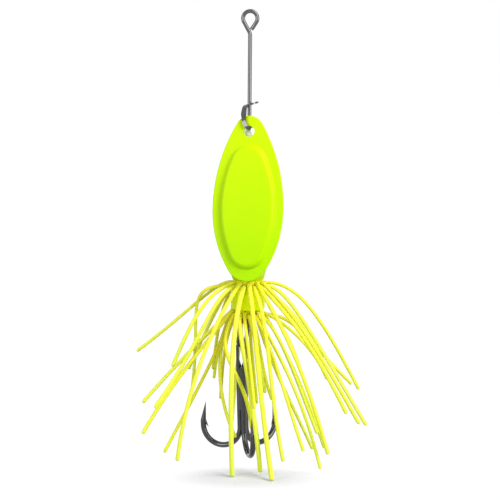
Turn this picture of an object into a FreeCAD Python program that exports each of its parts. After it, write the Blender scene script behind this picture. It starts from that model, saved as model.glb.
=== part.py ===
import FreeCAD, Part
import Sketcher
import math
import os

# In-line spinner with a two-tier rubber skirt.
# Millimetres. The origin is the centre of the line eye, +Z is up along the shaft,
# -Y is the side the blade hangs on, and +X is to the right seen from there.
# An azimuth is in degrees from -Y towards +X.

os.makedirs("parts", exist_ok=True)
doc = FreeCAD.newDocument("inline_spinner")
V = FreeCAD.Vector
UP = V(0, 0, 1)

# ---------------------------------------------------------------- driving sizes

SIZES = {
    # shaft wire, with its two end loops
    "wire_rad": 0.52, "eye_rad": 1.82, "eye_limb_tilt": 17, "eye_tag_end": -2.9, "eye_bend_top": -3.9,
    "loop_bend_top": -80.8, "loop_bottom": -84.9, "loop_near": 0.97, "loop_tag": 3.15,
    "loop_turn": 36, "loop_far_rad": 1.15, "loop_near_rad": 1.3, "tag_top": -73.0,
    # clevis
    "strip_thick": 0.45, "upper_strap_width": 1.3, "lower_strap_width": 1.0, "bore_rad": 0.58,
    "upper_ear_rad": 1.85, "upper_ear_height": -21.7, "upper_ear_tilt": 15.5, "upper_ear_shift": 0.5,
    "lower_ear_rad": 1.35, "lower_ear_height": -27.4, "lower_ear_tilt": 0, "lower_ear_shift": 0,
    # blade
    "blade_length": 42.2, "blade_half": 9.25, "blade_thick": 0.6, "blade_widest": 18.4,
    "blade_top_rad": 3.75, "blade_foot_rad": 5.6, "hole_rad": 1.375, "hole_height": 38.2,
    "blade_foot_x": -0.52, "blade_foot_y": -8.3, "blade_foot_z": -66.3,
    "blade_yaw": 13, "blade_pitch": 7.6, "blade_roll": 1.0,
    "dome_foot": 3.0, "dome_top": 34.8, "dome_half": 7.4, "dome_widest": 18.6,
    "dome_top_rad": 5.0, "dome_foot_rad": 5.1, "dome_rise": 1.1, "wall_slope": -35,
    "roll_rad": 1.3, "foot_roll_rad": 0.35, "hollow_inset": 0.45, "hollow_roll_rad": 0.7,
    "blade_edge": 0.25,
    # bearing bead
    "bearing_foot": -31.9, "bearing_high": 3.9, "bearing_arc_rad": 3.7, "bearing_end_rad": 1.2,
    # head, with the neck that carries the rest
    "neck_foot": -76.8, "neck_rad": 1.3, "neck_high": 9.8, "head_rad": 4.8, "head_foot_rad": 4.0,
    "head_widest": 14.0, "head_high": 44.8, "head_nose_rad": 1.5, "head_flank": 145.4,
    "head_lower_flank": 11.43,
    # lower body
    "body_foot": -74.7, "body_high": 5.5, "body_rad": 4.45, "body_edge": 0.35,
    "recess_rad": 3.55, "recess_deep": 0.7, "tag_hole_rad": 0.55,
    # skirt collars
    "upper_collar_foot": -69.2, "upper_collar_high": 2.2, "upper_collar_rad": 3.9,
    "lower_collar_foot": -76.8, "lower_collar_high": 2.8, "lower_collar_rad": 3.45,
    "socket_play": 0.03,
    # strands
    "strand_fine": 0.44, "strand_medium": 0.5, "strand_heavy": 0.62,
    "upper_row": -67.7, "upper_row_low": -68.45, "lower_row": -75.35, "lower_row_low": -76.05,
    "upper_seat": 3.5, "upper_exit": 4.8, "lower_seat": 3.1, "lower_exit": 4.15,
    # red bead
    "red_high": 1.8, "red_arc_rad": 0.98, "red_end_rad": 1.45,
    # treble hook
    "hook_rad": 0.75, "hook_pack": 0.885, "hook_bend": 5.24, "hook_bend_height": -107.0,
    "hook_point_start": -105.8, "hook_point_high": 5.25, "hook_tilt": 1.7,
    "shank_top": -90.4, "braze_top": -90.8, "braze_high": 11.2, "braze_rad": 1.25,
    "hang_x": -1.58, "hang_y": 1.15, "hook_eye_rad": 0.4, "hook_eye_half": 1.26,
    "hook_eye_top": -83.88, "hook_eye_foot": -88.3, "hook_eye_turn": 30,
    "barb_long": 1.9, "barb_rad": 0.44,
}

sheet = doc.addObject("Spreadsheet::Sheet", "Sizes")
for row, (alias, size) in enumerate(SIZES.items(), 1):
    sheet.set("A%d" % row, alias)
    sheet.set("B%d" % row, str(size))
    sheet.setAlias("B%d" % row, alias)
doc.recompute()


def measure(words):
    """The number that a sum such as 'head_rad - neck_rad' stands for."""
    total, sign = 0.0, 1
    for word in str(words).split():
        if word in "+-":
            sign = 1 if word == "+" else -1
        else:
            total += sign * (SIZES[word] if word in SIZES else float(word))
            sign = 1
    return total


def formula(words):
    """The same sum as a FreeCAD expression on the sheet."""
    return " ".join("Sizes." + w if w in SIZES else w for w in str(words).split())


def size(name):
    return SIZES[name]


def bind(obj, **properties):
    """Bind properties to sums of cells; a double underscore stands for a dot."""
    for prop, words in properties.items():
        obj.setExpression(prop.replace("__", "."), formula(words))
    return obj


def polar(azimuth, radius, height):
    a = math.radians(azimuth)
    return V(radius * math.sin(a), -radius * math.cos(a), height)


# ---------------------------------------------------------------- sketches and bodies

def new_body(label, base_height=None):
    body = doc.addObject("PartDesign::Body", label)
    body.Label = label
    if base_height:
        bind(body, Placement__Base__z=base_height)
    return body


def new_sketch(body, plane, lift=None):
    sketch = body.newObject("Sketcher::SketchObject", body.Label + "_sketch")
    base = [f for f in body.Origin.OriginFeatures if f.Role == plane][0]
    sketch.AttachmentSupport = [(base, "")]
    sketch.MapMode = "FlatFace"
    if lift:
        bind(sketch, AttachmentOffset__Base__z=lift)
    return sketch


def arc_through(start, end, radius, side):
    """Circle arc from start to end; side is +1 where it bulges to the left of the way."""
    half = (end - start) * 0.5
    left = V(-half.y, half.x, 0).normalize()
    sag = math.sqrt(max(radius * radius - half.Length ** 2, 0))
    centre = start + half - left * (side * sag)
    return Part.Arc(start, centre + left * (side * radius), end)


def draw(sketch, corners, arcs=None):
    """Closed outline: every corner is held at two sums of cells, and each arc by its radius."""
    arcs = arcs or {}
    points = [V(measure(x), measure(y), 0) for x, y in corners]
    count = len(points)
    for i in range(count):
        start, end = points[i], points[(i + 1) % count]
        if i in arcs:
            radius, side = arcs[i]
            sketch.addGeometry(arc_through(start, end, measure(radius), side), False)
        else:
            sketch.addGeometry(Part.LineSegment(start, end), False)
    ends = []
    for i in range(count):
        geometry = sketch.Geometry[i]
        swapped = i in arcs and geometry.StartPoint.distanceToPoint(points[i]) > 1e-4
        ends.append((2, 1) if swapped else (1, 2))
    for i in range(count):
        j = (i + 1) % count
        sketch.addConstraint(Sketcher.Constraint("Coincident", i, ends[i][1], j, ends[j][0]))
    for i, (x, y) in enumerate(corners):
        for kind, words in (("DistanceX", x), ("DistanceY", y)):
            if measure(words) == 0 and words == "0":
                axis = -2 if kind == "DistanceX" else -1
                sketch.addConstraint(Sketcher.Constraint("PointOnObject", i, ends[i][0], axis))
            else:
                n = sketch.addConstraint(
                    Sketcher.Constraint(kind, -1, 1, i, ends[i][0], measure(words)))
                sketch.setExpression("Constraints[%d]" % n, formula(words))
    for i, (radius, side) in arcs.items():
        n = sketch.addConstraint(Sketcher.Constraint("Radius", i, measure(radius)))
        sketch.setExpression("Constraints[%d]" % n, formula(radius))
    return sketch


def turned(label, base_height, corners, arcs=None):
    """A body turned about Z from a half profile of (radius, height) corners."""
    body = new_body(label, base_height)
    sketch = draw(new_sketch(body, "XZ_Plane"), corners, arcs)
    spin = body.newObject("PartDesign::Revolution", label + "_turn")
    spin.Profile = sketch
    spin.ReferenceAxis = (sketch, ["V_Axis"])
    spin.Angle = 360
    body.Tip = spin
    doc.recompute()
    return body


def pocket_circle(body, label, centre, radius, height, deep, up=True):
    """A round pocket whose circle lies at a height and is cut upwards or downwards."""
    sketch = new_sketch(body, "XY_Plane", height)
    sketch.addGeometry(Part.Circle(V(centre[0], centre[1], 0), UP, measure(radius)), False)
    n = sketch.addConstraint(Sketcher.Constraint("Radius", 0, measure(radius)))
    sketch.setExpression("Constraints[%d]" % n, formula(radius))
    for kind, offset in (("DistanceX", centre[0]), ("DistanceY", centre[1])):
        if abs(offset) < 1e-9:
            axis = -2 if kind == "DistanceX" else -1
            sketch.addConstraint(Sketcher.Constraint("PointOnObject", 0, 3, axis))
        else:
            sketch.addConstraint(Sketcher.Constraint(kind, -1, 1, 0, 3, offset))
    cut = body.newObject("PartDesign::Pocket", label)
    cut.Profile = sketch
    cut.Reversed = up
    bind(cut, Length=deep)
    body.Tip = cut
    doc.recompute()
    return body


def rounded(body, label, edges, radius):
    """A fillet on some edges of a body."""
    names = ["Edge%d" % (i + 1) for i, e in enumerate(body.Shape.Edges)
             if any(e.isSame(other) for other in edges)]
    base = body.Tip
    fillet = body.newObject("PartDesign::Fillet", label)
    fillet.Base = (base, names)
    bind(fillet, Radius=radius)
    body.Tip = fillet
    doc.recompute()


# ---------------------------------------------------------------- wires and pipes

def bent_path(corners, radii):
    """A wire through corners, each inner corner rounded by a tangent arc of its radius."""
    edges, last = [], corners[0]
    for i in range(1, len(corners) - 1):
        come = (corners[i] - corners[i - 1]).normalize()
        go = (corners[i + 1] - corners[i]).normalize()
        half_turn = come.getAngle(go) / 2
        reach = radii[i - 1] * math.tan(half_turn)
        start, end = corners[i] - come * reach, corners[i] + go * reach
        inward = (go - come).normalize()
        middle = corners[i] + inward * (radii[i - 1] / math.cos(half_turn) - radii[i - 1])
        if last.distanceToPoint(start) > 1e-4:
            edges.append(Part.LineSegment(last, start).toShape())
        edges.append(Part.Arc(start, middle, end).toShape())
        last = end
    if last.distanceToPoint(corners[-1]) > 1e-4:
        edges.append(Part.LineSegment(last, corners[-1]).toShape())
    return Part.Wire(edges)


def spine(label, wire):
    line = doc.addObject("Part::Feature", label + "_line")
    line.Shape = wire
    return line


def along(wire):
    """Placement with its Z along the wire's first edge and its origin at the start."""
    edge = wire.Edges[0]
    first = wire.OrderedVertexes[0].Point
    way = edge.tangentAt(edge.FirstParameter)
    if edge.valueAt(edge.FirstParameter).distanceToPoint(first) > 1e-6:
        way = edge.tangentAt(edge.LastParameter) * -1
    return FreeCAD.Placement(first, FreeCAD.Rotation(UP, way))


def sweep(label, profile, line, corner="Transformed"):
    pipe = doc.addObject("Part::Sweep", label)
    pipe.Sections = [profile]
    pipe.Spine = (line, ["Edge%d" % (i + 1) for i in range(len(line.Shape.Edges))])
    pipe.Solid, pipe.Frenet, pipe.Transition = True, False, corner
    return pipe


def rod(label, wire, radius, corner="Transformed"):
    """Round bar of a cell's radius along a wire."""
    line = spine(label, wire)
    ring = doc.addObject("Part::Circle", label + "_ring")
    ring.Placement = along(wire)
    bind(ring, Radius=radius)
    return sweep(label, ring, line, corner)


def joined(label, pieces, kind="Part::MultiFuse"):
    whole = doc.addObject(kind, label)
    if kind == "Part::Compound":
        whole.Links = pieces
    else:
        whole.Shapes = pieces
    whole.Label = label
    return whole


def cut(label, base, tool):
    rest = doc.addObject("Part::Cut", label)
    rest.Base, rest.Tool = base, tool
    rest.Label = label
    return rest


def cylinder(label, radius, height, placement=None):
    drum = doc.addObject("Part::Cylinder", label)
    bind(drum, Radius=radius, Height=height)
    if placement:
        drum.Placement = placement
    return drum


# ---------------------------------------------------------------- shaft wire

def in_loop_plane(reach, height):
    """The lower loop leans back and to the left of the shaft by loop_turn."""
    turn = math.radians(size("loop_turn"))
    return V(-reach * math.cos(turn), reach * math.sin(turn), height)


def shaft_wire():
    """One wire: tag end, line eye, straight shaft, and the open hook loop."""
    eye, tilt = size("eye_rad"), math.radians(size("eye_limb_tilt"))
    # Right limb of the eye: tangent to the eye circle and tilted towards the shaft.
    touch = V(eye * math.cos(tilt), 0, -eye * math.sin(tilt))
    limb = V(-math.sin(tilt), 0, -math.cos(tilt))
    tag_end = touch + limb * ((size("eye_tag_end") - touch.z) / limb.z)
    top_right = touch + limb * ((eye - touch.z) / limb.z)
    # Left limb: from the tangent circle down to the bend on the shaft axis.
    lean = math.asin(eye / -size("eye_bend_top"))
    top_left = V(-math.tan(lean) * (eye - size("eye_bend_top")), 0, eye)
    corners = [
        tag_end, top_right, top_left, V(0, 0, size("eye_bend_top")), V(0, 0, size("loop_bend_top")),
        in_loop_plane(size("loop_near"), size("loop_bottom")),
        in_loop_plane(size("loop_tag"), size("loop_bottom")),
        in_loop_plane(size("loop_tag"), size("tag_top")),
    ]
    radii = [eye, eye, 2.0, 1.8, size("loop_near_rad"), size("loop_far_rad")]
    return rod("shaft_wire", bent_path(corners, radii), "wire_rad")


# ---------------------------------------------------------------- clevis

# Middle line of the folded strip, from the upper ear round to the lower one: each place as
# (x, y, height), then the azimuth of the strip's width and how much that width rises.
# The first five places have the full width, and the rest are narrower to pass the blade's hole.
WIDE_PLACES = 5
FOLD = [
    ((-0.45, -0.75, -21.84), 50, 0.20), ((-0.82, -1.45, -21.97), 50, 0.20),
    ((-1.18, -2.10, -22.42), 51, 0.20), ((-1.38, -2.60, -23.30), 53, 0.16),
    ((-1.45, -2.90, -24.60), 56, 0.10), ((-1.34, -3.10, -25.80), 62, 0.05),
    ((-1.00, -3.36, -26.75), 70, 0.0), ((-0.52, -3.52, -27.38), 76, 0.0),
    ((-0.14, -3.15, -27.76), 77, 0.0), ((0.02, -2.50, -27.80), 80, 0.0),
    ((0.03, -1.80, -27.62), 86, 0.0), ((0.00, -0.90, -27.40), 90, 0.0),
]


def ear(name):
    """A round ear that the shaft passes through, tilted so that its right side is higher."""
    lean = FreeCAD.Rotation(V(0, 1, 0), -size(name + "_tilt"))
    centre = V(size(name + "_shift"), 0, -size("strip_thick") / 2)
    return cylinder(name, name + "_rad", "strip_thick", FreeCAD.Placement(
        UP * size(name + "_height") + lean.multVec(centre), lean))


def fold_section(number):
    """Flat cross-section of the strip, square to its way through one place of the fold."""
    places = [V(*place) for place, _, _ in FOLD]
    place, azimuth, rise = FOLD[number]
    before, after = places[max(number - 1, 0)], places[min(number + 1, len(FOLD) - 1)]
    way = (after - before).normalize()
    across = polar(azimuth, 1, 0) + UP * rise
    across = (across - way * across.dot(way)).normalize()
    outward = across.cross(way)
    width = "upper_strap_width" if number < WIDE_PLACES else "lower_strap_width"
    bar = doc.addObject("Part::Plane", "fold_section_%d" % (number + 1))
    bind(bar, Length="strip_thick", Width=width)
    bar.Placement = FreeCAD.Placement(
        V(*place) - outward * (size("strip_thick") / 2) - across * (size(width) / 2),
        FreeCAD.Rotation(outward, across, outward.cross(across), "XYZ"))
    return bar


def clevis():
    """A folded strip with an ear on the shaft at each end, which passes through the blade."""
    strip = doc.addObject("Part::Loft", "clevis_strip")
    strip.Sections = [fold_section(number) for number in range(len(FOLD))]
    strip.Solid, strip.Ruled = True, False
    solid = joined("clevis_folded", [ear("upper_ear"), strip, ear("lower_ear")])
    bore = cylinder("clevis_bore", "bore_rad", "upper_ear_height - lower_ear_height + 4",
                    FreeCAD.Placement(UP * (size("lower_ear_height") - 2), FreeCAD.Rotation()))
    return cut("clevis", solid, bore)


# ---------------------------------------------------------------- blade

def side_radius(half, rise, cap):
    """Radius of the side arc that is upright at the widest place and runs into a round end."""
    return (half * half + rise * rise - cap * cap) / (2 * (half - cap))


def oval(sketch, foot, top, half, widest, foot_rad, top_rad):
    """Egg outline of six tangent arcs about the Y axis."""
    low, high = foot + foot_rad, top - top_rad
    lower = side_radius(half, widest - low, foot_rad)
    upper = side_radius(half, high - widest, top_rad)
    lean_low = math.atan2(widest - low, lower - half)
    lean_high = math.atan2(high - widest, upper - half)

    def point(centre, radius, angle):
        return centre + V(radius * math.cos(angle), radius * math.sin(angle), 0)

    def arc(centre, radius, start, end):
        return Part.ArcOfCircle(Part.Circle(centre, UP, radius), start, end)

    right = [arc(V(half - lower, widest, 0), lower, -lean_low, 0),
             arc(V(half - upper, widest, 0), upper, 0, lean_high)]
    left = [arc(V(upper - half, widest, 0), upper, math.pi - lean_high, math.pi),
            arc(V(lower - half, widest, 0), lower, math.pi, math.pi + lean_low)]
    cap_top = arc(V(0, high, 0), top_rad, lean_high, math.pi - lean_high)
    cap_low = arc(V(0, low, 0), foot_rad, math.pi + lean_low, 2 * math.pi - lean_low)
    loop = [right[0], right[1], cap_top, left[0], left[1], cap_low]
    sketch.addGeometry(loop, False)
    for i in range(6):
        sketch.addConstraint(Sketcher.Constraint("Tangent", i, 2, (i + 1) % 6, 1))
    return sketch


def raised(body, kind, label, inset, height, tall):
    """The raised oval's outline with sloping walls, as a pad on the front or a pocket behind."""
    sketch = new_sketch(body, "XY_Plane", height)
    shrink = measure(inset)
    oval(sketch, size("dome_foot") + shrink, size("dome_top") - shrink,
         size("dome_half") - shrink, size("dome_widest"),
         size("dome_foot_rad") - shrink, size("dome_top_rad") - shrink)
    step = body.newObject(kind, label)
    step.Profile = sketch
    step.Reversed = kind.endswith("Pocket")
    bind(step, Length=tall, TaperAngle="wall_slope")
    body.Tip = step
    doc.recompute()


def face_at(body, height):
    """The flat face that lies at a height of the body's own frame."""
    return [f for f in body.Shape.Faces
            if max(abs(v.Point.z - measure(height)) for v in f.Vertexes) < 1e-4][0]


def blade():
    """Pressed blade: a thin egg-shaped flange, and a raised oval that is hollow behind."""
    body = new_body("blade")
    sketch = new_sketch(body, "XY_Plane")
    oval(sketch, 0, size("blade_length"), size("blade_half"), size("blade_widest"),
         size("blade_foot_rad"), size("blade_top_rad"))
    for i, name in ((5, "blade_foot_rad"), (2, "blade_top_rad")):
        sketch.addConstraint(Sketcher.Constraint("PointOnObject", i, 3, -2))
        n = sketch.addConstraint(Sketcher.Constraint("Radius", i, size(name)))
        sketch.setExpression("Constraints[%d]" % n, formula(name))
    pad = body.newObject("PartDesign::Pad", "blade_flange")
    pad.Profile = sketch
    pad.Reversed = True
    bind(pad, Length="blade_thick")
    body.Tip = pad
    doc.recompute()
    raised(body, "PartDesign::Pad", "blade_dome", "0", "0", "dome_rise")
    rounded(body, "dome_roll", face_at(body, "dome_rise").OuterWire.Edges, "roll_rad")
    front = face_at(body, "0")
    foot = [e for w in front.Wires if not w.isSame(front.OuterWire) for e in w.Edges]
    rounded(body, "dome_foot_roll", foot, "foot_roll_rad")
    rounded(body, "blade_rim", face_at(body, "0").OuterWire.Edges, "blade_edge")
    raised(body, "PartDesign::Pocket", "blade_hollow", "hollow_inset", "0 - blade_thick", "dome_rise")
    rounded(body, "hollow_roll", face_at(body, "dome_rise - blade_thick").OuterWire.Edges,
            "hollow_roll_rad")
    pocket_circle(body, "blade_hole", (0, size("hole_height")), "hole_rad", "dome_rise",
                  "dome_rise + dome_rise + blade_thick", up=False)
    yaw, pitch, roll = (size("blade_" + k) for k in ("yaw", "pitch", "roll"))
    turn = (FreeCAD.Rotation(UP, -yaw).multiply(FreeCAD.Rotation(V(1, 0, 0), 90 - pitch))
            .multiply(FreeCAD.Rotation(UP, roll)))
    body.Placement = FreeCAD.Placement(
        V(size("blade_foot_x"), size("blade_foot_y"), size("blade_foot_z")), turn)
    bind(body, Placement__Base__x="blade_foot_x", Placement__Base__y="blade_foot_y",
         Placement__Base__z="blade_foot_z")
    return body


# ---------------------------------------------------------------- turned pieces

def bearing_bead():
    return turned("bearing_bead", "bearing_foot",
                  [("bore_rad", "0"), ("bearing_end_rad", "0"), ("bearing_end_rad", "bearing_high"),
                   ("bore_rad", "bearing_high")], {1: ("bearing_arc_rad", -1)})


def head_body():
    """Slender head with the neck below it, cast on the wire."""
    return turned("head_body", "neck_foot",
                  [("wire_rad", "0"), ("neck_rad", "0"), ("neck_rad", "neck_high"),
                   ("head_foot_rad", "neck_high"), ("head_rad", "head_widest"),
                   ("head_nose_rad", "head_high"), ("wire_rad", "head_high")],
                  {3: ("head_lower_flank", -1), 4: ("head_flank", -1)})


def lower_body():
    """Plain drum with a recess below for the lower collar and a hole for the wire's tag."""
    body = turned("lower_body", "body_foot",
                  [("neck_rad", "recess_deep"), ("recess_rad", "recess_deep"), ("recess_rad", "0"),
                   ("body_rad", "0"), ("body_rad", "body_high"), ("neck_rad", "body_high")])
    rounded(body, "body_edges",
            [e for e in body.Shape.Edges if e.Curve.TypeId == "Part::GeomCircle"
             and abs(e.Curve.Radius - size("body_rad")) < 1e-4], "body_edge")
    tag = in_loop_plane(size("loop_tag"), 0)
    pocket_circle(body, "tag_hole", (tag.x, tag.y), "tag_hole_rad", "0",
                  "tag_top - body_foot + 0.1", up=True)
    return body


def red_bead():
    """Round bead pressed on the wire under the neck."""
    return turned("red_bead", "neck_foot - red_high",
                  [("wire_rad", "0"), ("red_end_rad", "0"), ("red_end_rad", "red_high"),
                   ("wire_rad", "red_high")], {1: ("red_arc_rad", -1)})


# ---------------------------------------------------------------- skirts

# Each strand: thickness, which row of sockets (0 upper, 1 lower), azimuth at the root and at the
# tip, and two guide places and the tip of its curve, each as distance from the shaft and height.
UPPER_STRANDS = {
    "front": [("medium", 0, -26.5, -44, (17, -74.5), (24.5, -91), (25, -110.5)),
              ("heavy", 1, -12.5, -15.5, (17, -74), (18, -91.5), (13.5, -116)),
              ("heavy", 0, 4, 22, (11, -74.5), (11.5, -93), (17.5, -116)),
              ("medium", 1, 18.5, 36, (13.5, -73.5), (10.5, -91.5), (16, -112)),
              ("medium", 0, 31.5, 58, (16, -77), (20.5, -91), (24.5, -110))],
    "left": [("fine", 1, -73, -87, (20, -68), (10.5, -73), (15, -96.5)),
             ("fine", 0, -90, -96, (9, -68), (16.5, -77), (29.5, -87)),
             ("medium", 0, -57, -66, (13, -69.5), (16.5, -77.5), (21, -88.5)),
             ("medium", 1, -42, -56, (12, -68.5), (14, -80), (28, -97.5)),
             ("fine", 1, -120, -118, (10, -76), (14, -84.5), (18, -93))],
    "right": [("medium", 1, 45, 68, (16, -75.5), (21.5, -86), (27.5, -100)),
              ("medium", 0, 58, 76, (16.5, -77), (22.5, -89.5), (30, -103.5)),
              ("medium", 1, 72, 84, (10, -68), (15.5, -78), (31.5, -105)),
              ("fine", 0, 86, 97, (13.5, -67.7), (19.5, -77.5), (30, -97)),
              ("fine", 1, 112, 112, (6.5, -72), (12, -73.5), (19.5, -86))],
    "back": [("fine", 0, -136, -132, (11, -76.5), (11.5, -84.5), (12.5, -93)),
             ("fine", 1, -154, -144, (6.5, -75.5), (14.5, -81.5), (15.5, -96.5)),
             ("medium", 0, -172, -162, (9, -80), (12.5, -94), (13.5, -109)),
             ("medium", 1, 170, 160, (7.5, -81), (11, -94), (13, -107.5)),
             ("fine", 0, 140, 128, (6.5, -76), (15.5, -81), (19, -95.5))],
}
LOWER_STRANDS = {
    "front": [("medium", 1, -61, 12, (11.5, -86), (12, -87), (6, -105.5)),
              ("heavy", 1, -27, 16, (8, -76), (13.5, -84.5), (13, -115)),
              ("fine", 0, -10.5, 8, (8, -75.5), (11.5, -81), (14, -98)),
              ("fine", 1, 3, 26, (8, -78), (9.5, -85), (10.5, -95)),
              ("fine", 0, 15, 44, (7.5, -80), (6, -89.5), (9.5, -97.5)),
              ("fine", 1, 28.5, 50, (11, -81.5), (14, -94), (19, -109.5))],
    "left": [("medium", 0, -104, -84, (11.5, -82.5), (19.5, -91), (27.5, -99.5)),
             ("medium", 0, -75, -64, (12.5, -84.5), (21, -93.5), (29.5, -105)),
             ("fine", 1, -90, -79, (8.5, -88), (15, -100), (22, -112.5)),
             ("fine", 0, -146, -22, (9, -82), (6.5, -100), (7.5, -107.5))],
    "right": [("fine", 0, 41, 60, (7, -82), (15.5, -88), (22, -114.5)),
              ("fine", 1, 53, 76, (9.5, -78.5), (13, -90.5), (19, -107)),
              ("fine", 0, 66, 84, (11, -77.5), (18, -84.5), (21, -93)),
              ("fine", 1, 84, 96, (12, -76.1), (13.5, -81), (28, -95.5))],
    "back": [("fine", 1, -160, -118, (9, -77.5), (8.5, -86), (8, -100)),
             ("fine", 1, 152, 110, (9.5, -90), (15, -103), (19, -114.5)),
             ("fine", 0, 116, 98, (11.5, -87), (16.5, -99), (21, -113)),
             ("fine", 0, 178, 166, (7, -82), (10, -93), (11, -103))],
}
RUNS = (0, 0.16, 0.4, 0.68, 1)


def strand_path(tier, strand):
    """Straight runs on the strand's curve, after a level run out of its socket."""
    thickness, row, root, tip, *guides = strand
    height = size(tier + ("_row_low" if row else "_row"))
    knots = [(size(tier + "_exit"), height)] + guides
    points = [polar(root, size(tier + "_seat"), height)]
    for part in RUNS:
        rest = 1 - part
        share = (rest ** 3, 3 * rest * rest * part, 3 * rest * part * part, part ** 3)
        reach = sum(k * p[0] for k, p in zip(share, knots))
        level = sum(k * p[1] for k, p in zip(share, knots))
        points.append(polar(root + (tip - root) * part, reach, level))
    return Part.makePolygon(points)


def skirt(tier, groups):
    for side, strands in groups.items():
        label = "%s_skirt_%s" % (tier, side)
        bars = [rod("%s_%d" % (label, n + 1), strand_path(tier, s), "strand_" + s[0], "Right corner")
                for n, s in enumerate(strands)]
        joined(label, bars, "Part::Compound")


def collar(tier, groups):
    """Rubber ring with a blind socket for every strand of its tier."""
    name = tier + "_collar"
    ring = turned(name + "_ring", name + "_foot",
                  [("neck_rad", "0"), (name + "_rad", "0"), (name + "_rad", name + "_high"),
                   ("neck_rad", name + "_high")])
    tools = []
    for strand in [s for strands in groups.values() for s in strands]:
        row = tier + ("_row_low" if strand[1] else "_row")
        way = polar(strand[2], 1, 0)
        seat = polar(strand[2], size(tier + "_seat"), size(row))
        tools.append(cylinder("%s_socket_%d" % (name, len(tools) + 1),
                              "strand_%s + socket_play" % strand[0], "2",
                              FreeCAD.Placement(seat, FreeCAD.Rotation(UP, way))))
    if tier == "lower":
        tag = in_loop_plane(size("loop_tag"), size(name + "_foot") - 1)
        tools.append(cylinder("collar_tag_hole", "tag_hole_rad", "6",
                              FreeCAD.Placement(tag, FreeCAD.Rotation())))
    return cut("%s_skirt_collar" % tier, ring, joined(name + "_sockets", tools))


# ---------------------------------------------------------------- treble hook

def hook_axis():
    """Frame of the hook: its origin is where it hangs on the loop, and it leans a little."""
    hang = V(size("hang_x"), size("hang_y"), size("loop_bottom"))
    lean = FreeCAD.Rotation(V(0, 1, 0), -size("hook_tilt"))
    return FreeCAD.Placement(hang, lean)


def hook_limb(label, azimuth, bend_low=0.0, point_low=0.0):
    """Shank, round bend, and a cone point with a barb on its inner side."""
    top = size("loop_bottom")
    near, far = size("hook_pack"), size("hook_pack") + 2 * size("hook_bend")
    bend_height = size("hook_bend_height") - top - bend_low
    start = size("hook_point_start") - top - point_low
    middle = near + size("hook_bend")
    low = V(middle, 0, bend_height - size("hook_bend"))
    line = Part.Wire([
        Part.LineSegment(V(near, 0, size("shank_top") - top), V(near, 0, bend_height)).toShape(),
        Part.Arc(V(near, 0, bend_height), low, V(far, 0, bend_height)).toShape(),
        Part.LineSegment(V(far, 0, bend_height), V(far, 0, start)).toShape()])
    wire = rod(label + "_wire", line, "hook_rad")
    point = doc.addObject("Part::Cone", label + "_point")
    bind(point, Radius1="hook_rad", Height="hook_point_high")
    point.Radius2 = 0.03
    point.Placement = FreeCAD.Placement(V(far, 0, start), FreeCAD.Rotation(V(0, 1, 0), -9))
    foot = doc.addObject("Part::Sphere", label + "_knee")
    bind(foot, Radius="hook_rad")
    foot.Placement.Base = V(far, 0, start)
    barb = doc.addObject("Part::Cone", label + "_barb")
    bind(barb, Radius1="barb_rad", Height="barb_long")
    barb.Radius2 = 0.03
    barb.Placement = FreeCAD.Placement(V(far - 0.45, 0, start - 0.1), FreeCAD.Rotation(V(0, 1, 0), -148))
    limb = joined(label, [wire, foot, point, barb])
    limb.Placement = hook_axis().multiply(
        FreeCAD.Placement(V(), FreeCAD.Rotation(UP, azimuth - 90)))
    return limb


def hook_eye():
    """Top of the double hook: the wire, drawn thinner, turned into a long eye."""
    frame = hook_axis().multiply(FreeCAD.Placement(V(), FreeCAD.Rotation(UP, size("hook_eye_turn"))))
    top = size("loop_bottom")
    half, crown, foot = size("hook_eye_half"), size("hook_eye_top") - top, size("hook_eye_foot") - top
    corners = [V(-half, 0, foot), V(-half, 0, crown), V(half, 0, crown), V(half, 0, foot)]
    ring = rod("hook_eye_ring", bent_path(corners, [half - 0.01, half - 0.01]), "hook_eye_rad")
    ring.Placement = frame
    pieces = [ring]
    # The two sides swell from the eye's thin wire to the full wire of the shank.
    for label, side, azimuth in (("hook_eye_left", -1, -104), ("hook_eye_right", 1, 136)):
        start = frame.multVec(V(side * half, 0, foot))
        end = hook_axis().multVec(polar(azimuth, size("hook_pack"), size("shank_top") - top))
        sections = []
        for n, (centre, radius) in enumerate(((start, "hook_eye_rad"), (end, "hook_rad"))):
            circle = doc.addObject("Part::Circle", "%s_%d" % (label, n))
            circle.Placement = FreeCAD.Placement(centre, hook_axis().Rotation)
            bind(circle, Radius=radius)
            sections.append(circle)
        side_bar = doc.addObject("Part::Loft", label)
        side_bar.Sections = sections
        side_bar.Solid, side_bar.Ruled = True, True
        pieces.append(side_bar)
    return pieces


def treble():
    """Double hook with the eye, single hook, and the braze that joins their shanks."""
    double = joined("treble_double_hook", hook_eye() + [
        hook_limb("double_left", -109), hook_limb("double_right", 131, point_low=0.8)])
    single = hook_limb("treble_single_hook", 13, bend_low=0.55, point_low=0.55)
    single.Label = "treble_single_hook"
    axis = hook_axis()
    filler = cylinder("braze_filler", "braze_rad", "braze_high",
                      axis.multiply(FreeCAD.Placement(
                          UP * (size("braze_top") - size("braze_high") - size("loop_bottom")),
                          FreeCAD.Rotation())))
    wires = joined("braze_relief", [
        cylinder("braze_relief_%d" % n, "hook_rad", "30",
                 axis.multiply(FreeCAD.Placement(polar(a, size("hook_pack"), -28), FreeCAD.Rotation())))
        for n, a in enumerate((-109, 131, 13))])
    cut("treble_braze", filler, wires)
    return double, single


# ---------------------------------------------------------------- build and export

shaft_wire()
clevis()
blade()
bearing_bead()
head_body()
lower_body()
collar("upper", UPPER_STRANDS)
collar("lower", LOWER_STRANDS)
skirt("upper", UPPER_STRANDS)
skirt("lower", LOWER_STRANDS)
red_bead()
treble()
doc.recompute()

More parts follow.
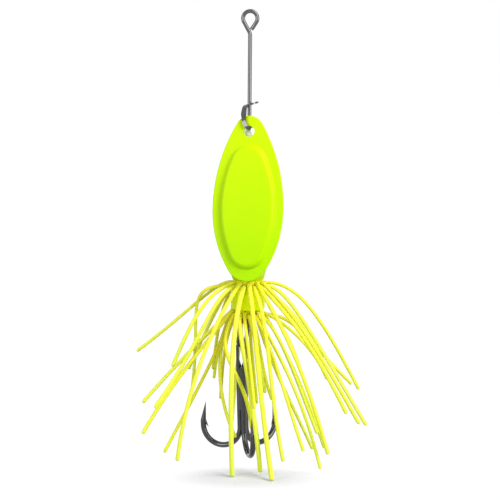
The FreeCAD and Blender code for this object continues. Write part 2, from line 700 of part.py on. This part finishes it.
NODES = (["shaft_wire", "clevis", "blade", "bearing_bead", "head_body", "upper_skirt_collar"]
         + ["upper_skirt_" + side for side in UPPER_STRANDS]
         + ["lower_body", "lower_skirt_collar"]
         + ["lower_skirt_" + side for side in LOWER_STRANDS]
         + ["red_bead", "treble_double_hook", "treble_single_hook", "treble_braze"])

for obj in doc.Objects:
    if "Invalid" in obj.State or "Error" in obj.State:
        raise RuntimeError("%s: %s" % (obj.Name, obj.State))
for node in NODES:
    shape = doc.getObjectsByLabel(node)[0].Shape
    if shape.isNull() or not shape.isValid():
        raise RuntimeError(node + " has no valid shape")
    shape.exportStep("parts/%s.step" % node)
    box = shape.BoundBox
    print("%-22s %2d solids  %8.1f mm3  z %.1f to %.1f" % (
        node, len(shape.Solids), shape.Volume, box.ZMin, box.ZMax))
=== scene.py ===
# %% [markdown]
# # An in-line spinner with a rubber skirt
#
# This notebook dresses the solid model of a fishing lure: a straight wire, a blade on a folded
# clevis, a slim painted head, two tiers of rubber strands and a treble hook. Most rigid pieces keep
# the shapes that they arrive with and only get their finishes here. Two kinds of piece are built
# again: the strands, which arrive as straight runs of bar and become smooth, round-tipped rubber,
# and the wire, whose line eye arrives a little too open.

import math
import random

import bpy
from mathutils import Matrix, Vector


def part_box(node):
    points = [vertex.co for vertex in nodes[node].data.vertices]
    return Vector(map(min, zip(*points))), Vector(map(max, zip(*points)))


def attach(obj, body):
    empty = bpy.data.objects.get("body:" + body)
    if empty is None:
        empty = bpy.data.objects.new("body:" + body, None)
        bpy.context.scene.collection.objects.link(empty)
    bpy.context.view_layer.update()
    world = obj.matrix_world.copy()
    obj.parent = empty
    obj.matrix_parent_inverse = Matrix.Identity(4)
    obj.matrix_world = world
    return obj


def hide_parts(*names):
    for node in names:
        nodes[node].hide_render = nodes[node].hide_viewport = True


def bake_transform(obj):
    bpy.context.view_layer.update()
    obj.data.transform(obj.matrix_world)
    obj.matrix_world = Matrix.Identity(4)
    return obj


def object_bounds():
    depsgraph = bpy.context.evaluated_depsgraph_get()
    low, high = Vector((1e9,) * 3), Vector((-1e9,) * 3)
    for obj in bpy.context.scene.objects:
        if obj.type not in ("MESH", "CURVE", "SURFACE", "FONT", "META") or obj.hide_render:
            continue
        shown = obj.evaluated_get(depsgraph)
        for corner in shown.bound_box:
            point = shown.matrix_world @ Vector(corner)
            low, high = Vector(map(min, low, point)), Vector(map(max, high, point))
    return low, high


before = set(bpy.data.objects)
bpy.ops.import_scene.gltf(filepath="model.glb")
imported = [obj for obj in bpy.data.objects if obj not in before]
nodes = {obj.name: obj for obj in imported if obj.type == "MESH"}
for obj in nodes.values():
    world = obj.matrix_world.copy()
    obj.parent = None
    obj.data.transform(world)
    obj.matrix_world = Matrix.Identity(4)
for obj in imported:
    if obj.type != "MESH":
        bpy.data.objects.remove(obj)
cad_low, cad_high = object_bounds()
MM = 0.001
print("size in mm:", [round(side / MM, 1) for side in cad_high - cad_low])

# %% [markdown]
# ## Camera
#
# The camera looks from a little above the lure's middle with a long lens, which keeps the near and
# far strands the same size. It aims just below the middle of the lure, because the skirt needs more
# room than the bare wire. A roll of half a degree lets the shaft lean a little, as that of a lure
# hung up by hand does.

# %% Camera
CAMERA_DISTANCE = 325 * MM
CAMERA_HEIGHT = math.radians(7.5)
CAMERA_ROLL = math.radians(0.489)
LENS = 90
SENSOR = 36
NEAREST_SEEN = 0.01
AIM_TO_RIGHT = 0.44 * MM
AIM_BELOW_MIDDLE = 2.4 * MM
AIM = Vector((AIM_TO_RIGHT, 0, (cad_low.z + cad_high.z) / 2 - AIM_BELOW_MIDDLE))

camera_data = bpy.data.cameras.new("camera")
camera_data.lens = LENS
camera_data.sensor_width = SENSOR
camera_data.clip_start = NEAREST_SEEN
camera = bpy.data.objects.new("camera", camera_data)
bpy.context.scene.collection.objects.link(camera)
sight = Vector((0, math.cos(CAMERA_HEIGHT), -math.sin(CAMERA_HEIGHT)))
camera.location = AIM - sight * CAMERA_DISTANCE
camera.rotation_mode = "QUATERNION"
camera.rotation_quaternion = (
    sight.to_track_quat("-Z", "Y") @ Matrix.Rotation(CAMERA_ROLL, 3, "Z").to_quaternion()
)
bpy.context.scene.camera = camera
print("camera aims at", [round(c / MM, 2) for c in AIM], "mm")

# %% [markdown]
# ## Writing shaders as arithmetic
#
# A material is a graph of nodes. Adding them one by one hides the idea, so a small class wraps a
# socket and gives it Python's operators: `1 - grain * 0.2` then adds the Math nodes by itself.
# Every other node comes from one method, which sets the node's own settings first, because some
# settings change which sockets the node has.

# %% A socket with operators
class Value:
    """The output of a node, with arithmetic that adds Math nodes."""

    def __init__(self, finish, socket):
        self.finish = finish
        self.socket = socket

    def _math(self, operation, first, second):
        return self.finish.node("Math", {"operation": operation}, {0: first, 1: second})

    def __add__(self, other):
        return self._math("ADD", self, other)

    def __radd__(self, other):
        return self._math("ADD", other, self)

    def __sub__(self, other):
        return self._math("SUBTRACT", self, other)

    def __rsub__(self, other):
        return self._math("SUBTRACT", other, self)

    def __mul__(self, other):
        return self._math("MULTIPLY", self, other)

    def __rmul__(self, other):
        return self._math("MULTIPLY", other, self)


# %% A material's node tree
class Finish:
    """A material, or a world, whose nodes are written a line at a time."""

    def __init__(self, name, kind="materials"):
        self.block = getattr(bpy.data, kind).new(name)
        self.block.use_nodes = True
        self.tree = self.block.node_tree
        self.tree.nodes.clear()

    def node(self, kind, settings=None, sockets=None, output=0):
        """Adds a node, sets it up, fills or links its sockets, and returns one output."""
        made = self.tree.nodes.new("ShaderNode" + kind)
        for name, setting in (settings or {}).items():
            setattr(made, name, setting)
        for name, given in (sockets or {}).items():
            if isinstance(given, Value):
                self.tree.links.new(given.socket, made.inputs[name])
            else:
                made.inputs[name].default_value = given
        return Value(self, made.outputs[output]) if made.outputs else None

    def place(self, stretch=(1, 1, 1)):
        """Where a point of the piece is, with each axis stretched by a factor."""
        here = self.node("TexCoord", output=3)
        return self.node("VectorMath", {"operation": "MULTIPLY"}, {0: here, 1: stretch})

    def grain(self, size, stretch=(1, 1, 1), detail=3):
        """Noise from 0 to 1, whose features are about this size in metres."""
        return self.node("TexNoise", None,
                         {"Vector": self.place(stretch), "Scale": 1 / size, "Detail": detail})

    def rise(self, low, high):
        """0 at the height low and 1 at the height high, in metres."""
        height = self.node("SeparateXYZ", None, {0: self.place()}, output=2)
        return self.node("MapRange", None, {"Value": height, "From Min": low, "From Max": high})

    def mixed(self, amount, first, second):
        """A colour between two others."""
        sockets = {0: amount, 6: tint(first), 7: tint(second)}
        return self.node("Mix", {"data_type": "RGBA"}, sockets, output=2)

    def larger(self, first, second):
        """The larger of two values."""
        return self.node("Math", {"operation": "MAXIMUM"}, {0: first, 1: second})

    def bump(self, height, depth, strength):
        """A slope for the Normal socket, from a height that runs from 0 to 1."""
        return self.node("Bump", None, {"Height": height, "Distance": depth, "Strength": strength})

    def surface(self, **sockets):
        """Ends the tree with a Principled surface; an underscore stands for a space."""
        named = {name.replace("_", " "): given for name, given in sockets.items()}
        shader = self.node("BsdfPrincipled", None, named)
        self.node("OutputMaterial", None, {"Surface": shader})
        return self.block


def tint(colour):
    """A colour with its alpha, or a link as it is."""
    return colour if isinstance(colour, Value) else (*colour, 1)


# %% [markdown]
# ## Metals
#
# Four kinds of metal. The shaft is drawn stainless wire, which keeps faint lines along its length
# from the die. The clevis and the hook are plated: a very dark base colour with the metallic slider
# at one gives black nickel, which is nearly a mirror but only returns bright lights strongly. The
# bearing bead behind the blade's hole is bright nickel with a satin surface.
#
# The studio is white on every side, and metal mirrors it. So the base colour alone decides how dark
# a metal looks, and the softboxes add its streaks. That is why these colours are darker than those
# of bare steel.

# %% Drawn and plated metal
LINE_WIDTH = 0.3 * MM
ALONG_THE_WIRE = (1, 1, 0.01)
WIRE_CLOUD = 4 * MM
PLATE_CLOUD = 1.6 * MM


def drawn_wire():
    finish = Finish("drawn_stainless")
    lines = finish.grain(LINE_WIDTH, ALONG_THE_WIRE, detail=1)
    cloud = finish.grain(WIRE_CLOUD)
    return finish.surface(
        Base_Color=finish.mixed(lines, (0.11, 0.11, 0.114), (0.15, 0.15, 0.154)),
        Metallic=1.0,
        Roughness=0.07 + cloud * 0.03,
    )


def plated(name, dark, light, roughness):
    """A plated metal, whose colour drifts from dark to light in soft clouds."""
    finish = Finish(name)
    cloud = finish.grain(PLATE_CLOUD)
    return finish.surface(
        Base_Color=finish.mixed(cloud, dark, light),
        Metallic=1.0,
        Roughness=roughness + cloud * 0.04,
    )


wire_metal = drawn_wire()
clevis_metal = plated("dark_nickel", (0.09, 0.09, 0.096), (0.13, 0.13, 0.137), 0.12)
hook_metal = plated("black_nickel", (0.06, 0.06, 0.063), (0.09, 0.09, 0.093), 0.05)
bright_nickel = plated("bright_nickel", (0.94, 0.93, 0.92), (0.99, 0.98, 0.97), 0.6)
print("metals:", [m.name for m in (wire_metal, clevis_metal, hook_metal, bright_nickel)])

# %% [markdown]
# ## Paint
#
# The blade wears a fluorescent chartreuse coat. It is greener and darker at the foot and yellower
# and lighter towards the hole end: partly a sprayed fade, partly painted light from above. Sprayed
# paint never dries quite flat: it keeps a soft orange-peel ripple, which is what breaks up its
# highlights. The head's coat is darker and runs the same way. The lower body has a much paler,
# yellower copy: painted light that makes up for the shade that the strands throw on it.

# %% Sprayed paint with painted light from above
RIPPLE_WIDTH = 0.5 * MM
RIPPLE_DEPTH = 0.006 * MM
SPRAY_CLOUD = 6 * MM
CLOUD_SHARE = 0.2


def fade_and_painted_top_light(name, foot, top, span, roughness):
    """Paint from its foot colour to a lighter top colour over a span of heights, as painted top light."""
    finish = Finish(name)
    ripple = finish.grain(RIPPLE_WIDTH, detail=1)
    cloud = finish.grain(SPRAY_CLOUD)
    height = finish.rise(*span) + (cloud - 0.5) * CLOUD_SHARE
    return finish.surface(
        Base_Color=finish.mixed(height, foot, top),
        Roughness=roughness + ripple * 0.06,
        Specular_IOR_Level=0.22,
        Specular_Tint=(1.0, 1.0, 0.3, 1),
        Normal=finish.bump(ripple, RIPPLE_DEPTH, 0.25),
    )


def heights_of(name):
    """The lowest and the highest point of a piece, in metres."""
    low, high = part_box(name)
    return low.z, high.z


# The blade's top colour is lighter and yellower: partly a sprayed fade, partly painted light from above.
blade_paint = fade_and_painted_top_light("blade_paint", (0.41, 0.79, 0.0), (0.63, 0.90, 0.0), heights_of("blade"), 0.3)
body_paint = fade_and_painted_top_light("body_paint", (0.42, 0.54, 0.0), (0.56, 0.74, 0.0), heights_of("head_body"), 0.34)
# The lower body's paint is a much paler copy of the head's: painted light against the strands' shade.
lower_paint_with_painted_light = fade_and_painted_top_light("lower_paint_with_painted_light", (0.78, 0.96, 0.0), (0.86, 1.0, 0.0), heights_of("lower_body"), 0.34)
print("paint:", blade_paint.name, body_paint.name, lower_paint_with_painted_light.name)

# %% [markdown]
# ## Rubber and plastic
#
# Skirt rubber is moulded, dyed through and slightly glossy. No two strands of a skirt match: each
# carries its own tone between golden and lemon yellow, stored on the mesh as an attribute called
# `tone_and_painted_shade`. The lower tier's strands are drawn from the darker, more golden tones:
# painted shade, as they hang deeper inside the skirt. A second attribute, `run`, goes from 0 at
# the roots to 1 at the tips, where the colour is a little greener. The red bead is glossy plastic.

# %% Moulded rubber and plastic
SPECK_WIDTH = 1.4 * MM
SPECK_DEPTH = 0.003 * MM
BEAD_CLOUD = 1.2 * MM


def moulded_rubber():
    finish = Finish("skirt_rubber")
    tone_and_painted_shade = finish.node("Attribute", {"attribute_name": "tone_and_painted_shade"}, output=2)
    run = finish.node("Attribute", {"attribute_name": "run"}, output=2)
    speck = finish.grain(SPECK_WIDTH, detail=1)
    # The golden end is the darker one; the lower tier draws mostly from it, as painted shade.
    yellow = finish.mixed(tone_and_painted_shade, (0.82, 0.72, 0.0), (0.95, 0.96, 0.05))
    lime = finish.mixed(tone_and_painted_shade, (0.80, 0.84, 0.0), (0.82, 0.99, 0.09))
    return finish.surface(
        Base_Color=finish.mixed(run, yellow, lime),
        Roughness=0.36 + speck * 0.08,
        Specular_IOR_Level=0.35,
        Normal=finish.bump(speck, SPECK_DEPTH, 0.1),
    )


def red_plastic():
    finish = Finish("red_plastic")
    cloud = finish.grain(BEAD_CLOUD)
    return finish.surface(
        Base_Color=finish.mixed(cloud, (0.22, 0.0, 0.0), (0.34, 0.006, 0.002)),
        Roughness=0.2 + cloud * 0.08,
        Specular_IOR_Level=0.4,
    )


rubber = moulded_rubber()
bead_plastic = red_plastic()
print("rubber and plastic:", rubber.name, bead_plastic.name)

# %% [markdown]
# ## Dress the rigid pieces
#
# Apart from the wire, the rigid pieces need no new shape. They arrive with the exact direction of
# every surface stored at its corners, which is why their round stretches look round and their edges
# stay crisp. Shading them smooth again would throw that away, so each only changes its material.

# %% Finishes of the rigid pieces
FINISHES = {
    "clevis": clevis_metal,
    "blade": blade_paint,
    "bearing_bead": bright_nickel,
    "head_body": body_paint,
    "lower_body": lower_paint_with_painted_light,
    "upper_skirt_collar": rubber,
    "lower_skirt_collar": rubber,
    "red_bead": bead_plastic,
    "treble_double_hook": hook_metal,
    "treble_single_hook": hook_metal,
    "treble_braze": hook_metal,
}

for name, material in FINISHES.items():
    nodes[name].data.materials.clear()
    nodes[name].data.materials.append(material)
print("dressed", len(FINISHES), "rigid pieces")

# %% [markdown]
# ## Strands
#
# Each strand leaves a socket in its rubber collar level, then droops under its own weight in one
# smooth bend. A cubic Bezier curve in distance-from-shaft and height gives that droop from two
# guides, while the bearing round the shaft drifts slowly from root to tip. A tube is then wrapped
# round the line. Its tip is a half ball, because a cut and tumbled strand has no sharp end.
#
# A strand is (thickness, row, bearing at the root, bearing at the tip, guide, guide, tip). Bearings
# are in degrees from the front towards the right. The guides and the tip are (distance from the
# shaft, height), and the thickness is a radius, all in millimetres. A tier's rows are the heights
# of its two rings of sockets, and its strands run inside the collar from `seat` to `exit`.

# %% Strand routes
THICKNESS = {"fine": 0.44, "medium": 0.5, "heavy": 0.62}
# Each tier's range of strand tones: the lower tier's darker, more golden range is painted shade.
TIERS = {
    "upper": {"seat": 3.5, "exit": 4.8, "rows": (-67.7, -68.45), "tones_and_painted_shade": (0.35, 1.0)},
    "lower": {"seat": 3.1, "exit": 4.15, "rows": (-75.35, -76.05), "tones_and_painted_shade": (0.0, 0.75)},
}
UPPER_STRANDS = {
    "front": [("medium", 0, -26.5, -44, (17, -74.5), (24.5, -91), (25, -110.5)),
              ("heavy", 1, -12.5, -15.5, (17, -74), (18, -91.5), (13.5, -116)),
              ("heavy", 0, 4, 22, (11, -74.5), (11.5, -93), (17.5, -116)),
              ("medium", 1, 18.5, 36, (13.5, -73.5), (10.5, -91.5), (16, -112)),
              ("medium", 0, 31.5, 58, (16, -77), (20.5, -91), (24.5, -110))],
    "left": [("fine", 1, -73, -107, (17.5, -68), (11.5, -75.5), (15.5, -98)),
             ("fine", 0, -90, -96, (9, -68), (16.5, -77), (29.5, -87)),
             ("medium", 0, -57, -66, (13, -69.5), (16.5, -77.5), (21, -88.5)),
             ("medium", 1, -42, -56, (12, -68.5), (14, -80), (28, -97.5)),
             ("fine", 1, -120, -118, (10, -76), (14, -84.5), (18, -93))],
    "right": [("medium", 1, 45, 68, (16, -75.5), (21.5, -86), (27.5, -100)),
              ("medium", 0, 58, 76, (16.5, -77), (22.5, -89.5), (30, -103.5)),
              ("medium", 1, 72, 84, (10, -68), (15.5, -78), (31.5, -105)),
              ("fine", 0, 86, 97, (13.5, -67.7), (19.5, -77.5), (30, -97)),
              ("fine", 1, 112, 112, (6.5, -72), (12, -73.5), (19.5, -86))],
    "back": [("fine", 0, -136, -132, (11, -76.5), (11.5, -84.5), (12.5, -93)),
             ("fine", 1, -154, -144, (6.5, -75.5), (14.5, -81.5), (15.5, -96.5)),
             ("medium", 0, -172, -162, (9, -80), (12.5, -94), (13.5, -109)),
             ("medium", 1, 170, 160, (7.5, -81), (11, -94), (13, -107.5)),
             ("fine", 0, 140, 128, (6.5, -76), (15.5, -81), (19, -95.5))],
}
LOWER_STRANDS = {
    "front": [("medium", 1, -61, 12, (11.5, -86), (12, -87), (6, -105.5)),
              ("heavy", 1, -27, 16, (8, -76), (13.5, -84.5), (13, -115)),
              ("fine", 0, -10.5, 8, (8, -75.5), (11.5, -81), (14, -98)),
              ("fine", 1, 3, 26, (8, -78), (9.5, -85), (10.5, -95)),
              ("fine", 0, 15, 44, (7.5, -80), (6, -89.5), (9.5, -97.5)),
              ("fine", 1, 28.5, 50, (11, -81.5), (14, -94), (19, -109.5))],
    "left": [("medium", 0, -104, -84, (11.5, -82.5), (19.5, -91), (27.5, -99.5)),
             ("medium", 0, -75, -64, (12.5, -84.5), (21, -93.5), (29.5, -105)),
             ("fine", 1, -90, -79, (8.5, -88), (15, -100), (22, -112.5)),
             ("fine", 0, -146, -22, (9, -82), (6.5, -100), (7.5, -107.5))],
    "right": [("fine", 0, 41, 60, (7, -82), (15.5, -88), (22, -114.5)),
              ("fine", 1, 53, 76, (9.5, -78.5), (13, -90.5), (19, -107)),
              ("fine", 0, 66, 84, (11, -77.5), (18, -84.5), (21, -93)),
              ("fine", 1, 84, 96, (12, -76.1), (13.5, -81), (28, -95.5))],
    "back": [("fine", 1, -160, -118, (9, -77.5), (8.5, -86), (8, -100)),
             ("fine", 1, 152, 110, (9.5, -90), (15, -103), (19, -114.5)),
             ("fine", 0, 116, 98, (11.5, -87), (16.5, -99), (21, -113)),
             ("fine", 0, 178, 166, (7, -82), (10, -93), (11, -103))],
}
SKIRTS = {"upper": UPPER_STRANDS, "lower": LOWER_STRANDS}
print("strands:", sum(len(group) for skirt in SKIRTS.values() for group in skirt.values()))

# %% The line of one strand
CURVE_STEPS = 36


def polar(bearing, reach, height):
    """A point in metres, from a bearing in degrees and two lengths in millimetres."""
    angle = math.radians(bearing)
    return Vector((reach * math.sin(angle), -reach * math.cos(angle), height)) * MM


def strand_line(tier, strand):
    """Points along a strand, from its seat in the collar to the end of its tip."""
    _, row, root, tip, *guides = strand
    height = TIERS[tier]["rows"][row]
    knots = [(TIERS[tier]["exit"], height)] + guides
    points = [polar(root, TIERS[tier]["seat"], height)]
    for step in range(CURVE_STEPS + 1):
        share = step / CURVE_STEPS
        rest = 1 - share
        weights = (rest ** 3, 3 * rest * rest * share, 3 * rest * share * share, share ** 3)
        reach = sum(w * knot[0] for w, knot in zip(weights, knots))
        level = sum(w * knot[1] for w, knot in zip(weights, knots))
        points.append(polar(root + (tip - root) * share, reach, level))
    return points


sample = strand_line("upper", UPPER_STRANDS["front"][1])
print("a strand has", len(sample), "points and ends at", [round(c / MM, 1) for c in sample[-1]])

# %% [markdown]
# ### Wrapping a tube round a line
#
# A ring of corners is placed square to the line at every point. If each ring chose its own start,
# the tube would twist, so the first ring's side direction is carried along: at each point it loses
# only the part that lies along the line. The tip is a few more rings that shrink, as high as the
# crown that is asked for: a strand's half ball, or the low crown of a cropped wire.

# %% A tube with a crowned end
TIP_RINGS = 5


def ring_of(centre, side, way, radius, sides):
    """The corners of one ring, square to the way that the line goes."""
    other = way.cross(side)
    turns = [2 * math.pi * n / sides for n in range(sides)]
    return [centre + (side * math.cos(t) + other * math.sin(t)) * radius for t in turns]


def tube(points, radius, crown, sides):
    """Rings of corners round a line, and the point of its end, whose crown is this high."""
    ways = [(b - a).normalized() for a, b in zip(points, points[1:])]
    ways = [ways[0]] + [(a + b).normalized() for a, b in zip(ways, ways[1:])] + [ways[-1]]
    points = points[:-1] + [points[-1] - ways[-1] * crown]
    side = ways[0].orthogonal().normalized()
    rings = []
    for point, way in zip(points, ways):
        side = (side - way * side.dot(way)).normalized()
        rings.append(ring_of(point, side, way, radius, sides))
    for step in range(1, TIP_RINGS):
        bend = math.pi / 2 * step / TIP_RINGS
        centre = points[-1] + ways[-1] * crown * math.sin(bend)
        rings.append(ring_of(centre, side, ways[-1], radius * math.cos(bend), sides))
    return rings, points[-1] + ways[-1] * crown


def skin(rings, tip):
    """Corners and faces of a closed tube. The last two corners are its root and its tip."""
    sides = len(rings[0])
    corners = [corner for ring in rings for corner in ring]
    root, last = len(corners), (len(rings) - 1) * sides
    corners += [sum(rings[0], Vector()) / sides, tip]
    faces = []
    for n in range(sides):
        m = (n + 1) % sides
        faces += [(root, m, n), (root + 1, last + n, last + m)]
        faces += [(low + n, low + m, low + sides + m, low + sides + n) for low in range(0, last, sides)]
    return corners, faces


def smooth_piece(name, corners, faces, material):
    """A new smooth-shaded object with one material."""
    mesh = bpy.data.meshes.new(name)
    mesh.from_pydata(corners, [], faces)
    mesh.polygons.foreach_set("use_smooth", [True] * len(mesh.polygons))
    mesh.materials.append(material)
    piece = bpy.data.objects.new(name, mesh)
    bpy.context.scene.collection.objects.link(piece)
    return piece


# %% Build a bunch of strands as one piece
STRAND_SIDES = 14


def bunch(name, tier, strands):
    """All the strands of one side of a tier, as one closed mesh with its shading attributes."""
    draw = random.Random(name)
    corners, faces, tones_and_painted_shade, runs = [], [], [], []
    for strand in strands:
        radius = THICKNESS[strand[0]] * MM
        rings, tip = tube(strand_line(tier, strand), radius, radius, STRAND_SIDES)
        new_corners, new_faces = skin(rings, tip)
        faces += [[len(corners) + corner for corner in face] for face in new_faces]
        corners += new_corners
        # Each strand's tone is random within its tier's range; the lower tier's darker range is painted
        # shade.
        tones_and_painted_shade += [draw.uniform(*TIERS[tier]["tones_and_painted_shade"])] * len(new_corners)
        runs += [ring / len(rings) for ring in range(len(rings)) for _ in range(STRAND_SIDES)] + [0, 1]
    piece = smooth_piece(name, corners, faces, rubber)
    for label, values in (("tone_and_painted_shade", tones_and_painted_shade), ("run", runs)):
        piece.data.attributes.new(label, "FLOAT", "POINT").data.foreach_set("value", values)
    return piece


# %% [markdown]
# ### Building the bunches
#
# The hook hangs inside the skirt and swings, and real strands are pushed along by it. Here each
# side of a tier becomes one piece in the place of the solid's strands on that side.
# bends: its roots stay with the collar and its tips follow the hook, with a smooth change between.

for tier, groups in SKIRTS.items():
    for side, strands in groups.items():
        piece = bunch("%s_%s_strands" % (tier, side), tier, strands)
        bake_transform(piece)
        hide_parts("%s_skirt_%s" % (tier, side))
        print(piece.name, len(strands), "strands,", len(piece.data.polygons), "faces")

# %% [markdown]
# ## The wire and its line eye
#
# The wire is bent round pins, so it is straight runs joined by round bends. Its eye is a teardrop:
# the tag end comes back down until it nearly meets the shaft, or the line would slip out. The
# solid's tag end stands a little further off, so the wire is swept again here with the eye nearly
# closed, and all the rest of it on the same line.

# %% The line of the wire
EYE_RADIUS = 1.82
EYE_FOOT = -3.75
TAG_LEAN = math.radians(33)
TAG_END = -2.85
LOOP_TURN = math.radians(36)
LOOP_OUTSIDE = 3.15
LOOP_INSIDE = 0.97
LOOP_NECK = -80.8
LOOP_FOOT = -84.9
HIDDEN_END = -73
BEND_RADII = (1.15, 1.3, 1.8, 2.0, EYE_RADIUS, EYE_RADIUS)
ARC_STEP = 6


def in_loop_plane(reach, height):
    """A point in the upright plane that the hook loop is bent in."""
    return Vector((-reach * math.cos(LOOP_TURN), reach * math.sin(LOOP_TURN), height))


def wire_corners():
    """The wire's corners in millimetres, from the hidden end of the hook loop up to the tag end."""
    touch = Vector((EYE_RADIUS * math.cos(TAG_LEAN), 0, -EYE_RADIUS * math.sin(TAG_LEAN)))
    limb = Vector((-math.sin(TAG_LEAN), 0, -math.cos(TAG_LEAN)))
    tag_end = touch + limb * ((TAG_END - touch.z) / limb.z)
    top_right = touch + limb * ((EYE_RADIUS - touch.z) / limb.z)
    shaft_lean = math.asin(EYE_RADIUS / -EYE_FOOT)
    top_left = Vector((-math.tan(shaft_lean) * (EYE_RADIUS - EYE_FOOT), 0, EYE_RADIUS))
    loop = [in_loop_plane(LOOP_OUTSIDE, HIDDEN_END), in_loop_plane(LOOP_OUTSIDE, LOOP_FOOT),
            in_loop_plane(LOOP_INSIDE, LOOP_FOOT), Vector((0, 0, LOOP_NECK))]
    return loop + [Vector((0, 0, EYE_FOOT)), top_left, top_right, tag_end]


def bent(corners, radii):
    """Points along a wire, with each inner corner rounded by an arc of its radius."""
    points = [corners[0]]
    for before, corner, after, radius in zip(corners, corners[1:], corners[2:], radii):
        come, go = (corner - before).normalized(), (after - corner).normalized()
        turn = come.angle(go)
        start = corner - come * radius * math.tan(turn / 2)
        centre = start + (go - come * go.dot(come)).normalized() * radius
        steps = max(2, round(math.degrees(turn) / ARC_STEP))
        axis = come.cross(go).normalized()
        for step in range(steps + 1):
            points.append(centre + Matrix.Rotation(turn * step / steps, 3, axis) @ (start - centre))
    return points + [corners[-1]]


wire_line = [point * MM for point in bent(wire_corners(), BEND_RADII)]
print("the wire has", len(wire_line), "points")

# %% Sweep the wire
WIRE_RADIUS = 0.52 * MM
WIRE_CROWN = 0.1 * MM
WIRE_SIDES = 24

rings, tip = tube(wire_line, WIRE_RADIUS, WIRE_CROWN, WIRE_SIDES)
wire = smooth_piece("bent_wire", *skin(rings, tip), wire_metal)
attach(wire, "lure")
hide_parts("shaft_wire")
print("wire:", len(wire.data.polygons), "faces")

# %% [markdown]
# ## Floor and background
#
# The lure stands over a seamless white sweep. In an oval close to it the floor is plain paint that
# catches the contact shadow. Further out it fades to an even white, so that the floor and the
# background meet with no line. The camera sees this floor, and so do mirrors and glass. Rays that
# carry light find a darker one, or it would light the lure too much from below. The paint is faintly
# blue, which cancels the yellow light that the lure throws on it.

# %% Floor
FLOOR_HALF = 4.0
SHADOW_CENTRE = Vector((0, -14, 0)) * MM
SHADOW_STRETCH = (1, 2.2, 0)
SHADOW_REACH = (6 * MM, 25 * MM)
SEEN_PAINT = (0.78, 0.78, 0.86)
LIT_PAINT = (0.35, 0.35, 0.35)
EVEN_WHITE = 1.05


def seen_directly(finish):
    """1 for a ray from the camera, off a mirror or through glass, and 0 for one that brings light."""
    camera_ray, glossy_ray, clear_ray = [finish.node("LightPath", output=n) for n in (0, 3, 6)]
    return finish.larger(camera_ray, finish.larger(glossy_ray, clear_ray))


def floor_finish():
    finish = Finish("floor_white")
    seen = seen_directly(finish)
    here = finish.node("VectorMath", {"operation": "SUBTRACT"}, {0: finish.place(), 1: SHADOW_CENTRE})
    oval = finish.node("VectorMath", {"operation": "MULTIPLY"}, {0: here, 1: SHADOW_STRETCH})
    away = finish.node("VectorMath", {"operation": "LENGTH"}, {0: oval}, output=1)
    fade = finish.node("MapRange", {"interpolation_type": "SMOOTHSTEP"},
                       {"Value": away, "From Min": SHADOW_REACH[0], "From Max": SHADOW_REACH[1]})
    paint = finish.node("BsdfDiffuse", None, {"Color": finish.mixed(seen, LIT_PAINT, SEEN_PAINT)})
    even = finish.node("Emission", None, {"Color": (1, 1, 1, 1), "Strength": EVEN_WHITE})
    both = finish.node("MixShader", None, {0: fade * seen, 1: paint, 2: even})
    finish.node("OutputMaterial", None, {"Surface": both})
    return finish.block


def make_floor():
    mesh = bpy.data.meshes.new("floor")
    corners = [(x * FLOOR_HALF, y * FLOOR_HALF, 0) for x, y in ((-1, -1), (1, -1), (1, 1), (-1, 1))]
    mesh.from_pydata(corners, [], [(0, 1, 2, 3)])
    mesh.materials.append(floor_finish())
    floor = bpy.data.objects.new("floor", mesh)
    floor.location.z = cad_low.z
    bpy.context.scene.collection.objects.link(floor)
    return floor


floor = make_floor()
print("floor at z", round(floor.location.z / MM, 2), "mm")

# %% [markdown]
# ## Light
#
# Soft light from all round keeps the colours true. As a source of light the world is dimmer than
# white, which leaves room for two softboxes. A tall one up and to the right is the key: it draws
# the bright wall on the right of the blade's oval and the streak down the wire. A weaker one on the
# left opens the shadows. Together they light a colour so that it shows about as written.

# %% World
AMBIENT = 0.5


def make_world():
    """White to the camera, to mirrors and to glass, and a dimmer light from all round."""
    finish = Finish("studio", "worlds")
    strength = AMBIENT + seen_directly(finish) * (1 - AMBIENT)
    back = finish.node("Background", None, {"Color": (1, 1, 1, 1), "Strength": strength})
    finish.node("OutputWorld", None, {"Surface": back})
    bpy.context.scene.world = finish.block


make_world()

# %% Softboxes
def softbox(name, place, width, height, watts):
    """A rectangle of light that faces the aim of the camera, placed from there in metres."""
    light = bpy.data.lights.new(name, "AREA")
    light.shape = "RECTANGLE"
    light.size = width
    light.size_y = height
    light.energy = watts
    lamp = bpy.data.objects.new(name, light)
    lamp.location = AIM + Vector(place)
    lamp.rotation_mode = "QUATERNION"
    lamp.rotation_quaternion = (-Vector(place)).to_track_quat("-Z", "Y")
    bpy.context.scene.collection.objects.link(lamp)
    return lamp


softbox("key", (0.40, -0.34, 0.31), 0.32, 0.80, 4.5)
softbox("fill", (-0.40, -0.40, 0.06), 0.24, 0.50, 1.5)
bpy.context.scene.view_settings.view_transform = "Standard"
